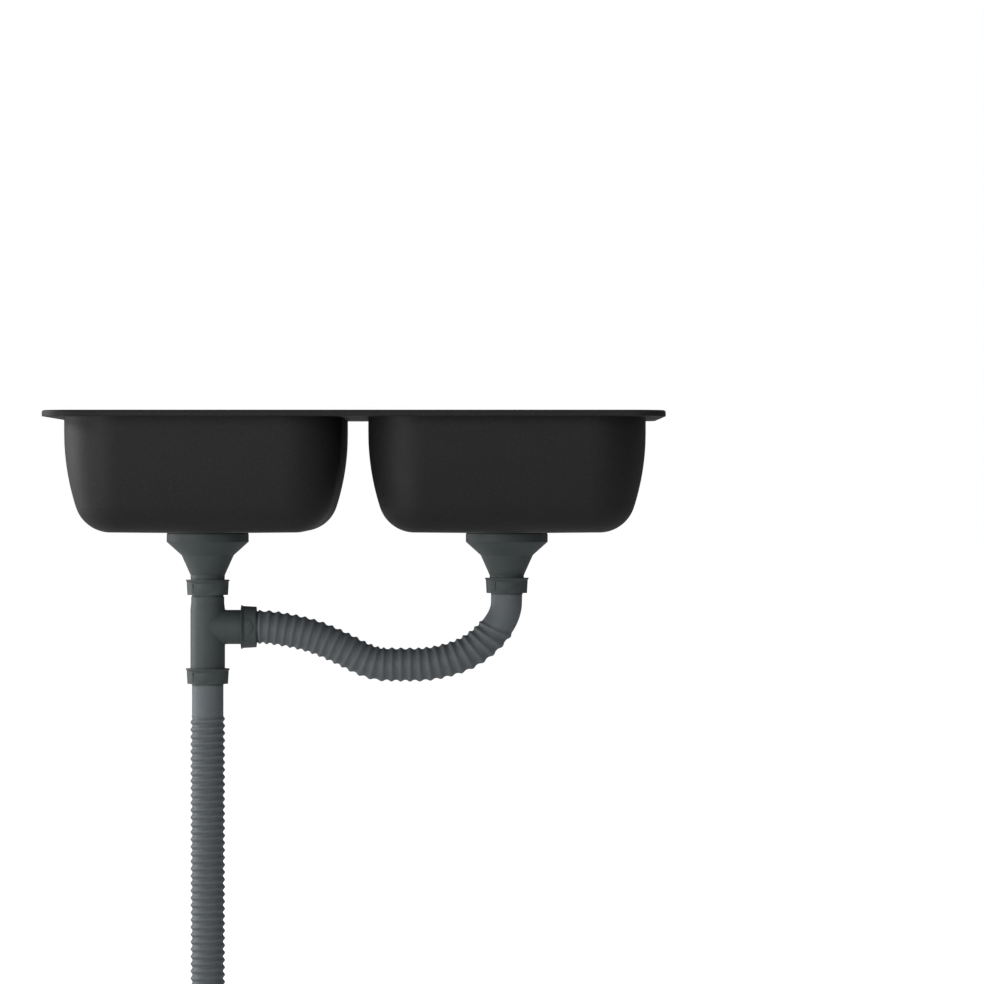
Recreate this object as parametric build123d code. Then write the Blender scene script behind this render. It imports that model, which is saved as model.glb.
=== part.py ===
from build123d import *
from math import asin, cos, hypot, pi, radians, sin, sqrt, tan
import os

# Double bowl kitchen sink in moulded composite, with two basket-strainer wastes, a tee and
# two ribbed drain hoses. Millimetres, +Z up, +X to the right and -Y to the front.
# The origin is on the plane that the rim rests on, halfway between the two bowls.

# ---------------------------------------------------------------- driving dimensions

# rim
RIM_WIDTH = 820.0
RIM_LENGTH = 500.0  # front to back
RIM_SIDE = 24.5  # rim beyond the bowls at each side
RIM_FRONT = 26.0
TAP_LEDGE = 62.0  # rim behind the bowls
RIM_THICKNESS = 8.0
RIM_CORNER_R = 45.0
RIM_EDGE_R = 3.0
LIP_R = 6.0  # rounding from the rim into each bowl
TAP_HOLE_R = 17.5

# bowls, measured outside
BOWL_DEPTH = 154.5  # from the seat plane to the underside at the waste
BOWL_GAP = 35.0  # between the two bowls
BOWL_WALL = 8.0
BOWL_CORNER_R = 75.0  # in plan
STRAIGHT_WALL = 20.5  # upright part of the wall, below the seat plane
WALL_SWEEP_R = 325.0  # gentle curve of the wall below it
BASE_R = 48.5  # round between the wall and the floor
BASE_END_ANGLE = 86.0  # lean of the round where the floor begins
FLOOR_FALL = 1.3  # fall of the floor to the waste

# basket-strainer waste
WASTE_FORWARD = 30.0  # the waste's axis stands this far in front of the bowl's centre
CUP_R = 40.0  # middle of the cup's sheet
CUP_DEPTH = 27.0
CUP_BASE_R = 7.0
LEDGE_DROP = 3.2
LEDGE = 2.9  # width of the ledge that the basket's lip stands on
LEDGE_RISE = 1.9  # width of the slope above it
FLANGE = 12.2  # width of the flat flange round that slope
FLANGE_BEND_R = 1.5  # middle of the sheet, from the flange into the slope
LEDGE_BEND_R = 1.0
FLANGE_SHEET = 1.2
FLANGE_GASKET = 1.0
GASKET_INSET = 1.0  # from the flange's edge, and twice that from the waste hole
WASTE_HOLE_GAP = 5.0  # between the waste hole and the middle of the cup's sheet
RECESS_GAP = 1.0  # round the flange
RECESS_DEPTH = 2.5
FLOOR_PAD = 2.0  # flat ring left round the recess
DRAIN_SLOTS = 6
DRAIN_SLOT_R = 17.5
DRAIN_SLOT_WIDTH = 8.0
DRAIN_SLOT_ANGLE = 32.0

# lift-out basket
BASKET_SHEET = 0.8
BASKET_GAP = 1.2  # between the basket's wall and the cup
BASKET_LIP = 3.6
BASKET_LIP_BEND_R = 1.0
BASKET_BASE_R = 3.5
BASKET_HOLES = 20
BASKET_HOLE_R = 2.2
SEAL_INSET = 11.8  # from the basket's wall in to the seal
SEAL_THICKNESS = 5.0
SEAL_RECESS = 3.6
SEAL_LIP = 2.5  # width of the ring that lies on the cup's floor
SEAL_LIP_HEIGHT = 0.8
SEAL_TAPER = 0.8
KNOB_R = 9.5
KNOB_HEIGHT = 6.5
KNOB_RISE = 3.0  # above the bowl's floor
KNOB_EDGE_R = 1.8
STEM_R = 3.0
STEM_FLARE = 2.0  # width and height of the flare from the stem into the knob
STEM_GAP = 0.1  # between the stem and the hole in the basket's floor
SEAT_GAP = 0.3  # between the basket's pieces and what they rest on

# clamp screw
SCREW_R = 3.0
SCREW_LENGTH = 16.0
SCREW_HEAD_R = 5.5
SCREW_HEAD = 2.8
SCREW_HEAD_EDGE_R = 1.2
SCREW_SLOT = 1.4
SCREW_SLOT_DEPTH = 1.2
SCREW_GAP = 0.1
SCREW_HOLE_GAP = 0.3  # between the screw and the hole in the cup's floor

# waste funnel
BOWL_GASKET = 1.5
BOWL_GASKET_INSET = 0.6  # from the funnel's edge
FUNNEL_BORE_GAP = 1.0  # how much wider the funnel's mouth is than the waste hole
FUNNEL_SEAT = 9.2  # width of the funnel's top face
FUNNEL_COLLAR = 10.6
FUNNEL_BREAK_R = 35.1
FUNNEL_BREAK = 28.7  # from the funnel's top down to the break between its cones
FUNNEL_CONES = 55.6  # from the funnel's top down to the neck
FUNNEL_NECK = 3.3
FUNNEL_NECK_STEP = 0.2  # from the neck in to the thread
FUNNEL_WALL = 2.6
HUB_R = 7.5
HUB_HEIGHT = 15.0
HUB_RIBS = 4
HUB_RIB = 2.6
HUB_RIB_DROP = 4.0  # the ribs start this far under the hub's top

# couplings: a tube end pushed into a threaded socket, a tapered washer and a winged nut
TUBE_R = 20.0
TUBE_WALL = 2.4
TUBE_GAP = 0.25
SOCKET_DEPTH = 25.0
SOCKET_WALL = 2.05
THREAD_HEIGHT = 0.6  # the thread's crest stands this far outside the socket's wall
THREAD_LENGTH = 12.5  # inside the nut
NUT_HEIGHT = 22.5
NUT_WALL = 2.5
NUT_END_WALL = 1.05
NUT_BELL_TOP = 9.0
NUT_BELL_END = 20.5
NUT_BORE_GAP = 0.2
NUT_CONE_START = 0.8  # the cone for the washer starts this far past the thread
NUT_RING_REACH = 3.9  # how far the ring stands out of the nut's body
NUT_RING = 1.3
NUT_WING_REACH = 2.9  # the same for the wings, at their top and at their end
NUT_WING_END_REACH = 1.8
NUT_WING_SHIFT = 4.5  # each wing is round about an axis this far from the nut's own
NUT_WING_HEIGHT = 20.4
NUT_GROOVE_R = 1.1
NUT_GROOVE_ANGLE = 46.0  # from the middle of a wing round to its groove
NUT_GROOVE_STOP = 3.0  # the grooves end this far short of the wings' end
RIGHT_NUT_TURN = 9.0
WASHER_HEIGHT = 4.5
WASHER_GAP = 0.1  # between the washer and the thread's radius
WASHER_EDGE = 0.6  # upright edge above the washer's taper
WASHER_END = 0.65  # thickness of the washer's thin end
LEFT_NUT_DROP = 6.1  # from the left funnel's neck down to the nut
RIGHT_NUT_DROP = 3.5
LEFT_NUT_GAP = 0.3  # between the nut and the tee's shoulder

# tee
TEE_RISE = 40.9  # from the branch's axis up to the shoulder under the left nut
TEE_BODY_WALL = 3.05
TEE_ARM_STEP = 0.2  # how much slimmer the arm is than the body
TEE_SWELL_GAP = 0.7  # between the branch and the swell from the top's radius to the body's
TEE_SWELL = 9.0  # height of that swell
TEE_BODY_LENGTH = 56.0  # from the branch's axis down to the lower nut
TEE_REACH = 45.3  # from the tee's axis out to the side nut
TEE_TUBE_RISE = 3.6  # the tee's tube end stands this far above the start of the funnel's neck
TEE_FILLET = 2.0
PAST = 1.0  # how far a cutting tool runs past the face that it opens

# ribbed hoses
HOSE_WALL = 2.8
RIB_STEPS = 4
CUFF_STEPS = 4
BRANCH_CREST = 2.9  # how far the ribs' crests stand outside the hose's plain ends
BRANCH_VALLEY = 0.6
BRANCH_RIBS = 30
BRANCH_STRAIGHT = 36.0  # straight part of the right end, inside the nut
BRANCH_CUFF = 56.0  # smooth length at the right end
SIDE_CUFF = 37.0  # smooth length at the tee's end
DROP_RIB = 1.4  # mean height of the spiral rib outside the hose's plain ends
DROP_RIB_THROW = 1.55  # the spiral rib is a circle that runs round the hose's axis
DROP_RIB_PITCH = 9.86
DROP_RIBS = 38
DROP_CUFF = 38.7  # smooth length below the lower nut
DROP_END_CUFF = 38.0

# outlet spigot
OUTLET_PIN_WALL = 7.4
OUTLET_STEP = 2.0  # from the spigot out to the collar
OUTLET_COLLAR = 22.0
OUTLET_PIN = 42.0
OUTLET_CHAMFER = 2.0

# ---------------------------------------------------------------- worked-out sizes

BOWL_WIDTH = (RIM_WIDTH - BOWL_GAP) / 2 - RIM_SIDE
BOWL_LENGTH = RIM_LENGTH - RIM_FRONT - TAP_LEDGE
FLANGE_R = CUP_R + LEDGE + LEDGE_RISE + FLANGE
RECESS_R = FLANGE_R + RECESS_GAP
WASTE_HOLE_R = CUP_R + WASTE_HOLE_GAP
FUNNEL_BORE_R = WASTE_HOLE_R + FUNNEL_BORE_GAP
FUNNEL_R = FUNNEL_BORE_R + FUNNEL_SEAT

TUBE_BORE_R = TUBE_R - TUBE_WALL
SOCKET_R = TUBE_R + TUBE_GAP
SOCKET_OUTER_R = SOCKET_R + SOCKET_WALL
THREAD_R = SOCKET_OUTER_R + THREAD_HEIGHT
NUT_BORE_R = THREAD_R + NUT_BORE_GAP
NUT_BODY_R = NUT_BORE_R + NUT_WALL
NUT_END_R = SOCKET_R + NUT_END_WALL
NUT_RING_R = NUT_BODY_R + NUT_RING_REACH
TEE_BODY_R = SOCKET_R + TEE_BODY_WALL
TEE_ARM_R = TEE_BODY_R - TEE_ARM_STEP
FUNNEL_NECK_R = THREAD_R + FUNNEL_NECK_STEP
HOSE_BORE_R = TUBE_R - HOSE_WALL
OUTLET_PIN_R = TUBE_BORE_R + OUTLET_PIN_WALL
OUTLET_COLLAR_R = OUTLET_PIN_R + OUTLET_STEP

# ---------------------------------------------------------------- worked-out places

BOWL_X = (BOWL_WIDTH + BOWL_GAP) / 2
BOWL_Y = (RIM_FRONT - TAP_LEDGE) / 2
WASTE_Y = BOWL_Y - WASTE_FORWARD
LEDGE_Y = (RIM_LENGTH - TAP_LEDGE) / 2

FLOOR_Z = BOWL_WALL - BOWL_DEPTH
RECESS_Z = FLOOR_Z - RECESS_DEPTH
FLANGE_Z = RECESS_Z + FLANGE_GASKET + FLANGE_SHEET / 2
LEDGE_Z = FLANGE_Z - LEDGE_DROP
CUP_Z = FLANGE_Z - CUP_DEPTH
CUP_TOP_Z = CUP_Z + FLANGE_SHEET / 2
CUP_UNDER_Z = CUP_Z - FLANGE_SHEET / 2

SEAL_Z = CUP_TOP_Z + SEAT_GAP
BASKET_Z = SEAL_Z + SEAL_THICKNESS + BASKET_SHEET / 2
BASKET_LIP_Z = LEDGE_Z + FLANGE_SHEET / 2 + SEAT_GAP + BASKET_SHEET / 2
BASKET_R = CUP_R - FLANGE_SHEET / 2 - BASKET_GAP - BASKET_SHEET / 2
SEAL_R = BASKET_R - SEAL_INSET

FUNNEL_Z = -BOWL_DEPTH - BOWL_GASKET
NECK_Z = FUNNEL_Z - FUNNEL_CONES
LEFT_NUT_Z = NECK_Z - LEFT_NUT_DROP
RIGHT_NUT_Z = NECK_Z - RIGHT_NUT_DROP

TEE_TOP_Z = LEFT_NUT_Z - NUT_HEIGHT - LEFT_NUT_GAP
TEE_TUBE_Z = NECK_Z + TEE_TUBE_RISE
BRANCH_Z = TEE_TOP_Z - TEE_RISE
LOWER_NUT_Z = BRANCH_Z - TEE_BODY_LENGTH
LOWER_SOCKET_Z = LOWER_NUT_Z - THREAD_LENGTH + SOCKET_DEPTH
SIDE_NUT_X = -BOWL_X + TEE_REACH

DROP_TOP_Z = LOWER_SOCKET_Z - SEAT_GAP
DROP_RIB_Z = LOWER_NUT_Z - NUT_HEIGHT - DROP_CUFF
DROP_RIB_END_Z = DROP_RIB_Z - DROP_RIBS * DROP_RIB_PITCH
DROP_END_Z = DROP_RIB_END_Z - DROP_END_CUFF
OUTLET_Z = DROP_END_Z - SEAT_GAP + OUTLET_COLLAR

# The branch hose's route, seen from the front, from inside the right funnel to inside the tee:
# X from the sink's middle, Z from the tee's branch. Chosen by hand to follow the hanging hose.
BRANCH_ROUTE = [
    (BOWL_X, 77.4),
    (BOWL_X, 12.9),
    (159.2, -32.4),
    (102.3, -52.0),
    (28.1, -52.0),
    (-60.5, -12.5),
    (-114.0, 0.0),
    (SIDE_NUT_X - 12.4, 0.0),
]

BASE_END = radians(BASE_END_ANGLE)
FROM_BASE = (Align.CENTER, Align.CENTER, Align.MIN)
FROM_TOP = (Align.CENTER, Align.CENTER, Align.MAX)


# ---------------------------------------------------------------- helpers


def ring(inner, outer, low, high):
    """A plain ring about the Z axis."""
    height = high - low
    return Pos(0, 0, low + height / 2) * (Cylinder(outer, height) - Cylinder(inner, height))


def turned(*points):
    """A solid of revolution about Z from an outline of (radius, height) corners."""
    return revolve(Plane.XZ * make_face(Polyline(*points, close=True)), Axis.Z)


def sheet_turned(points, radii, thickness):
    """A turned sheet with rolled edges. The points are on the middle of the sheet, from its outer
    edge to its inner edge, with one radius per corner."""
    (outer, outer_z), *bends, (inner, inner_z) = points
    points = [(outer - thickness / 2, outer_z), *bends, (inner + thickness / 2, inner_z)]
    middle = FilletPolyline(*[Plane.XZ.from_local_coords(Vector(r, z)) for r, z in points], radius=radii)
    band = Wire(middle.edges()).offset_2d(thickness / 2)
    return revolve(make_face(band), Axis.Z)


# ---------------------------------------------------------------- sink body


def bowl_form(inset, top):
    """A bowl's solid form about its own centre, inset by a wall's thickness, up to the height top."""
    corner = BOWL_CORNER_R - inset
    sweep_r = WALL_SWEEP_R - inset
    base_r = BASE_R - inset
    straight_x = BOWL_WIDTH / 2 - BOWL_CORNER_R
    straight_y = BOWL_LENGTH / 2 - BOWL_CORNER_R

    # the lean where the gentle curve meets the base round follows from the bowl's depth
    rest = BOWL_DEPTH - STRAIGHT_WALL - FLOOR_FALL - BASE_R * sin(BASE_END)
    base_start = asin(rest / (WALL_SWEEP_R - BASE_R))

    def on_sweep(angle):
        return (corner - sweep_r + sweep_r * cos(angle), -STRAIGHT_WALL - sweep_r * sin(angle))

    def on_base(angle):
        reach = sweep_r - base_r
        x = corner - sweep_r + reach * cos(base_start) + base_r * cos(angle)
        return (x, -STRAIGHT_WALL - reach * sin(base_start) - base_r * sin(angle))

    foot = on_base(BASE_END)
    wall = [
        Line((0, top), (corner, top)),
        Line((corner, top), on_sweep(0)),
        ThreePointArc(on_sweep(0), on_sweep(base_start / 2), on_sweep(base_start)),
        ThreePointArc(on_base(base_start), on_base((base_start + BASE_END) / 2), foot),
        Line(foot, (0, foot[1])),
        Line((0, foot[1]), (0, top)),
    ]
    profile = Plane.XZ * make_face(wall)

    height = top - foot[1]
    form = Pos(0, 0, top - height / 2) * Box(2 * straight_x, 2 * straight_y, height)
    side = extrude(profile, 2 * straight_y, dir=(0, 1, 0))
    front = extrude(Rot(Z=-90) * profile, 2 * straight_x, dir=(1, 0, 0))
    quarter = revolve(profile, Axis.Z, 90)
    for turn in (0, 180):
        form += Rot(Z=turn) * Pos(straight_x, -straight_y) * side
        form += Rot(Z=turn) * Pos(-straight_x, -straight_y) * front
        form += Rot(Z=turn) * Pos(straight_x, straight_y) * quarter
        form += Rot(Z=turn) * Pos(-straight_x, straight_y) * Rot(Z=90) * quarter

    # the floor falls from its edge to a flat pad round the waste
    edge = RectangleRounded(2 * (straight_x + foot[0]), 2 * (straight_y + foot[0]), foot[0])
    pad = RECESS_R + FLOOR_PAD
    pad_z = inset - BOWL_DEPTH
    fall = loft(
        [
            Pos(0, 0, foot[1]) * edge,
            Pos(0, -WASTE_FORWARD, pad_z) * RectangleRounded(2 * pad, 2 * pad, pad - 0.5),
        ],
        ruled=True,
    )
    return form + fall


def make_sink_body():
    """The moulded body: a flat rim with two bowls, their waste recesses and a tap hole."""
    rim = extrude(RectangleRounded(RIM_WIDTH, RIM_LENGTH, RIM_CORNER_R), RIM_THICKNESS)
    outside = bowl_form(0, RIM_THICKNESS / 2)
    inside = bowl_form(BOWL_WALL, RIM_THICKNESS + PAST)
    body = rim
    for side in (-1, 1):
        body += Pos(side * BOWL_X, BOWL_Y) * outside
    for side in (-1, 1):
        body -= Pos(side * BOWL_X, BOWL_Y) * inside
        recess = Pos(0, 0, RECESS_Z) * Cylinder(RECESS_R, RECESS_DEPTH + BOWL_WALL, align=FROM_BASE)
        hole = Pos(0, 0, -BOWL_DEPTH) * Cylinder(WASTE_HOLE_R, 2 * BOWL_WALL)
        body -= Pos(side * BOWL_X, WASTE_Y) * (recess + hole)
    body -= Pos(0, LEDGE_Y) * Cylinder(TAP_HOLE_R, 2 * (RIM_THICKNESS + PAST))

    top = body.faces().sort_by(Axis.Z)[-1]
    body = fillet(top.outer_wire().edges(), RIM_EDGE_R)
    top = body.faces().sort_by(Axis.Z)[-1]
    mouths = [wire for wire in top.inner_wires() if wire.length > 4 * BOWL_CORNER_R]
    return fillet([edge for wire in mouths for edge in wire.edges()], LIP_R)


# ---------------------------------------------------------------- strainer and basket


def make_strainer_flange():
    """Stainless flange, ledge and cup pressed from one sheet, with slots round the clamp screw."""
    points = [
        (FLANGE_R, FLANGE_Z),
        (CUP_R + LEDGE + LEDGE_RISE, FLANGE_Z),
        (CUP_R + LEDGE, LEDGE_Z),
        (CUP_R, LEDGE_Z),
        (CUP_R, CUP_Z),
        (SCREW_R + SCREW_HOLE_GAP, CUP_Z),
    ]
    bends = [FLANGE_BEND_R, LEDGE_BEND_R, LEDGE_BEND_R, CUP_BASE_R]
    cup = sheet_turned(points, bends, FLANGE_SHEET)
    slot = SlotArc(CenterArc((0, 0), DRAIN_SLOT_R, 0, DRAIN_SLOT_ANGLE), DRAIN_SLOT_WIDTH)
    slot = Pos(0, 0, CUP_Z - FLANGE_SHEET) * extrude(slot, 2 * FLANGE_SHEET)
    for index in range(DRAIN_SLOTS):
        cup -= Rot(Z=index * 360 / DRAIN_SLOTS) * slot
    return cup


def make_flange_gasket():
    """Thin seal between the flange and the recess in the bowl's floor."""
    inner = WASTE_HOLE_R + 2 * GASKET_INSET
    return ring(inner, FLANGE_R - GASKET_INSET, RECESS_Z, RECESS_Z + FLANGE_GASKET)


def make_bowl_gasket():
    """Thick seal between the bowl's underside and the funnel."""
    return ring(FUNNEL_BORE_R, FUNNEL_R - BOWL_GASKET_INSET, FUNNEL_Z, -BOWL_DEPTH)


def make_basket():
    """Lift-out basket of thin sheet, with holes in its floor and low in its wall."""
    points = [
        (BASKET_R + BASKET_LIP, BASKET_LIP_Z),
        (BASKET_R, BASKET_LIP_Z),
        (BASKET_R, BASKET_Z),
        (STEM_R + STEM_GAP, BASKET_Z),
    ]
    basket = sheet_turned(points, [BASKET_LIP_BEND_R, BASKET_BASE_R], BASKET_SHEET)
    floor_ring = (SEAL_R + BASKET_R - BASKET_BASE_R) / 2
    wall_z = BASKET_Z + BASKET_BASE_R + 2 * BASKET_HOLE_R
    hole = Cylinder(BASKET_HOLE_R, BASKET_SHEET + 2 * PAST)
    for index in range(BASKET_HOLES):
        turn = Rot(Z=(index + 0.5) * 360 / BASKET_HOLES)
        basket -= turn * Pos(floor_ring, 0, BASKET_Z) * hole
        basket -= turn * Pos(BASKET_R, 0, wall_z) * Rot(Y=90) * hole
    return basket


def make_basket_seal():
    """Rubber stopper under the basket, hollow where it covers the screw's head."""
    top = SEAL_Z + SEAL_THICKNESS
    return turned(
        (0, SEAL_Z + SEAL_RECESS),
        (KNOB_R, SEAL_Z + SEAL_RECESS),
        (KNOB_R, SEAL_Z + SEAL_LIP_HEIGHT),
        (SEAL_R - SEAL_LIP, SEAL_Z + SEAL_LIP_HEIGHT),
        (SEAL_R - SEAL_LIP, SEAL_Z),
        (SEAL_R, SEAL_Z),
        (SEAL_R - SEAL_TAPER, top),
        (0, top),
    )


def make_basket_knob():
    """Turned knob on a stem that stands on the seal and passes through the basket's floor."""
    top = FLOOR_Z + KNOB_RISE
    low = top - KNOB_HEIGHT
    knob = turned(
        (0, SEAL_Z + SEAL_THICKNESS),
        (STEM_R, SEAL_Z + SEAL_THICKNESS),
        (STEM_R, low - STEM_FLARE),
        (STEM_R + STEM_FLARE, low),
        (KNOB_R, low),
        (KNOB_R, top),
        (0, top),
    )
    rim = knob.edges().filter_by(GeomType.CIRCLE).group_by(Axis.Z)[-1]
    return fillet(rim, KNOB_EDGE_R)


def make_clamp_screw():
    """Pan-head screw through the cup into the funnel's hub, with a driver slot."""
    head = Pos(0, 0, CUP_TOP_Z + SCREW_HEAD / 2) * Cylinder(SCREW_HEAD_R, SCREW_HEAD)
    head = fillet(head.edges().group_by(Axis.Z)[-1], SCREW_HEAD_EDGE_R)
    head -= Pos(0, 0, CUP_TOP_Z + SCREW_HEAD) * Box(3 * SCREW_HEAD_R, SCREW_SLOT, 2 * SCREW_SLOT_DEPTH)
    low = CUP_TOP_Z - SCREW_LENGTH
    shank = Pos(0, 0, (CUP_TOP_Z + low) / 2) * Cylinder(SCREW_R, CUP_TOP_Z - low)
    return head + shank


# ---------------------------------------------------------------- funnel


def make_funnel(nut_z):
    """Moulded waste body: collar, two cones, threaded neck, and a hub on ribs for the screw."""
    break_z = FUNNEL_Z - FUNNEL_BREAK
    collar_z = FUNNEL_Z - FUNNEL_COLLAR
    thread_z = NECK_Z - FUNNEL_NECK
    end_z = nut_z - THREAD_LENGTH
    outside = turned(
        (0, FUNNEL_Z),
        (FUNNEL_R, FUNNEL_Z),
        (FUNNEL_R, collar_z),
        (FUNNEL_BREAK_R, break_z),
        (FUNNEL_NECK_R, NECK_Z),
        (FUNNEL_NECK_R, thread_z),
        (THREAD_R, thread_z),
        (THREAD_R, end_z),
        (0, end_z),
    )

    # the inner cones lie one wall inside the outer ones
    upper_run, upper_drop = FUNNEL_R - FUNNEL_BREAK_R, collar_z - break_z
    lower_run, lower_drop = FUNNEL_BREAK_R - FUNNEL_NECK_R, break_z - NECK_Z
    upper_shift = FUNNEL_WALL * hypot(upper_run, upper_drop) / upper_drop
    lower_shift = FUNNEL_WALL * hypot(lower_run, lower_drop) / lower_drop
    upper_slope, lower_slope = upper_run / upper_drop, lower_run / lower_drop

    def upper_z(radius):
        return collar_z - (FUNNEL_R - upper_shift - radius) / upper_slope

    def lower_z(radius):
        return break_z - (FUNNEL_BREAK_R - lower_shift - radius) / lower_slope

    meet = upper_z(0) - lower_z(0)
    meet_r = meet / (1 / lower_slope - 1 / upper_slope)
    hollow = turned(
        (0, FUNNEL_Z + PAST),
        (FUNNEL_BORE_R, FUNNEL_Z + PAST),
        (FUNNEL_BORE_R, upper_z(FUNNEL_BORE_R)),
        (meet_r, upper_z(meet_r)),
        (SOCKET_R, lower_z(SOCKET_R)),
        (SOCKET_R, end_z - PAST),
        (0, end_z - PAST),
    )

    hub_low = CUP_UNDER_Z - HUB_HEIGHT
    rib_height = HUB_HEIGHT - HUB_RIB_DROP
    web = Pos(0, 0, hub_low + rib_height / 2) * Box(2 * FUNNEL_R, HUB_RIB, rib_height)
    webs = web
    for index in range(1, HUB_RIBS // 2):
        webs += Rot(Z=index * 360 / HUB_RIBS) * web
    hub = Pos(0, 0, hub_low + HUB_HEIGHT / 2) * Cylinder(HUB_R, HUB_HEIGHT)
    hub_bore = Pos(0, 0, hub_low + HUB_HEIGHT / 2) * Cylinder(SCREW_R + SCREW_GAP, HUB_HEIGHT + 2 * PAST)
    return (outside - hollow) + (webs & outside) + hub - hub_bore


# ---------------------------------------------------------------- couplings


def make_nut():
    """Winged nut about Z: its thread starts at the top, z = 0, and the tube leaves at the bottom."""
    drop = NUT_BELL_END - NUT_BELL_TOP
    gain = NUT_BODY_R - NUT_END_R
    bell_r = (drop**2 + gain**2) / (2 * gain)

    def on_bell(depth):
        below = depth - NUT_BELL_TOP
        return (NUT_BODY_R - bell_r + sqrt(bell_r**2 - below**2), -depth)

    ring_foot = NUT_RING + NUT_RING_R - NUT_BODY_R
    outline = [
        Polyline(
            (0, -NUT_HEIGHT),
            (0, 0),
            (NUT_RING_R, 0),
            (NUT_RING_R, -NUT_RING),
            (NUT_BODY_R, -ring_foot),
            on_bell(NUT_BELL_TOP),
        ),
        ThreePointArc(
            on_bell(NUT_BELL_TOP), on_bell((NUT_BELL_TOP + NUT_BELL_END) / 2), on_bell(NUT_BELL_END)
        ),
        Polyline(on_bell(NUT_BELL_END), (NUT_END_R, -NUT_HEIGHT), (0, -NUT_HEIGHT)),
    ]
    nut = revolve(Plane.XZ * make_face(outline), Axis.Z)

    wing_end_r = NUT_BODY_R + NUT_WING_END_REACH - NUT_WING_SHIFT
    wing_top_r = NUT_BODY_R + NUT_WING_REACH - NUT_WING_SHIFT
    wing_height = NUT_WING_HEIGHT - NUT_RING / 2
    wing = Cone(wing_end_r, wing_top_r, wing_height, align=FROM_BASE)
    for x in (-NUT_WING_SHIFT, NUT_WING_SHIFT):
        nut += Pos(x, 0, -NUT_WING_HEIGHT) * wing

    # one groove beside each wing, sunk by its own radius at the middle of the wing's height
    turn = radians(NUT_GROOVE_ANGLE)
    wing_r = (wing_end_r + wing_top_r) / 2
    groove_reach = NUT_WING_SHIFT * cos(turn) + sqrt(wing_r**2 - (NUT_WING_SHIFT * sin(turn)) ** 2)
    groove = Cylinder(NUT_GROOVE_R, NUT_WING_HEIGHT - ring_foot - NUT_GROOVE_STOP, align=FROM_TOP)
    for angle in (NUT_GROOVE_ANGLE, NUT_GROOVE_ANGLE + 180):
        nut -= Rot(Z=angle) * Pos(groove_reach, 0, -ring_foot) * groove

    cone_top = THREAD_LENGTH + NUT_CONE_START
    cone_end = cone_top + 2 * (NUT_BORE_R - SOCKET_R)
    return nut - turned(
        (0, PAST),
        (NUT_BORE_R, PAST),
        (NUT_BORE_R, -cone_top),
        (SOCKET_R, -cone_end),
        (SOCKET_R, -NUT_HEIGHT - PAST),
        (0, -NUT_HEIGHT - PAST),
    )


def make_washer():
    """Tapered washer that the nut presses on the tube, about Z in the nut's own frame."""
    top = -THREAD_LENGTH
    outer = THREAD_R - WASHER_GAP
    return turned(
        (SOCKET_R, top),
        (outer, top),
        (outer, top - WASHER_EDGE),
        (SOCKET_R + WASHER_END, top - WASHER_HEIGHT),
        (SOCKET_R, top - WASHER_HEIGHT),
    )


# ---------------------------------------------------------------- tee


def make_tee():
    """Moulded tee: tube end on top, threaded sockets below and on the branch, about its own axis."""
    swell_end = BRANCH_Z + TEE_ARM_R + TEE_SWELL_GAP
    swell_start = swell_end + TEE_SWELL
    low = LOWER_NUT_Z - THREAD_LENGTH
    trunk = turned(
        (0, TEE_TUBE_Z),
        (TUBE_R, TEE_TUBE_Z),
        (TUBE_R, TEE_TOP_Z),
        (SOCKET_OUTER_R, TEE_TOP_Z),
        (SOCKET_OUTER_R, swell_start),
        (TEE_BODY_R, swell_end),
        (TEE_BODY_R, LOWER_NUT_Z),
        (THREAD_R, LOWER_NUT_Z),
        (THREAD_R, low),
        (0, low),
    )
    arm = Rot(Y=90) * (
        Cylinder(TEE_ARM_R, TEE_REACH, align=FROM_BASE)
        + Pos(0, 0, TEE_REACH) * Cylinder(THREAD_R, THREAD_LENGTH, align=FROM_BASE)
    )
    outside = trunk + Pos(0, 0, BRANCH_Z) * arm
    seam = outside.edges().filter_by(GeomType.BSPLINE)
    outside = fillet(seam, TEE_FILLET)
    socket_stop = SOCKET_DEPTH - THREAD_LENGTH
    bores = turned(
        (0, TEE_TUBE_Z + PAST),
        (TUBE_BORE_R, TEE_TUBE_Z + PAST),
        (TUBE_BORE_R, LOWER_SOCKET_Z),
        (SOCKET_R, LOWER_SOCKET_Z),
        (SOCKET_R, low - PAST),
        (0, low - PAST),
    )
    arm_bore = Rot(Y=90) * (
        Cylinder(TUBE_BORE_R, TEE_REACH, align=FROM_BASE)
        + Pos(0, 0, TEE_REACH - socket_stop)
        * Cylinder(SOCKET_R, SOCKET_DEPTH + PAST, align=FROM_BASE)
    )
    return outside - bores - Pos(0, 0, BRANCH_Z) * arm_bore


# ---------------------------------------------------------------- hoses


def route_radii(points):
    """The largest arcs that the runs of a route allow, one for each corner."""
    radii = []
    for before, corner, after in zip(points, points[1:], points[2:]):
        run_in = Vector(corner) - Vector(before)
        run_out = Vector(after) - Vector(corner)
        half_turn = radians(run_in.get_angle(run_out)) / 2
        radii.append(0.45 * min(run_in.length, run_out.length) / tan(half_turn))
    return radii


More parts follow.
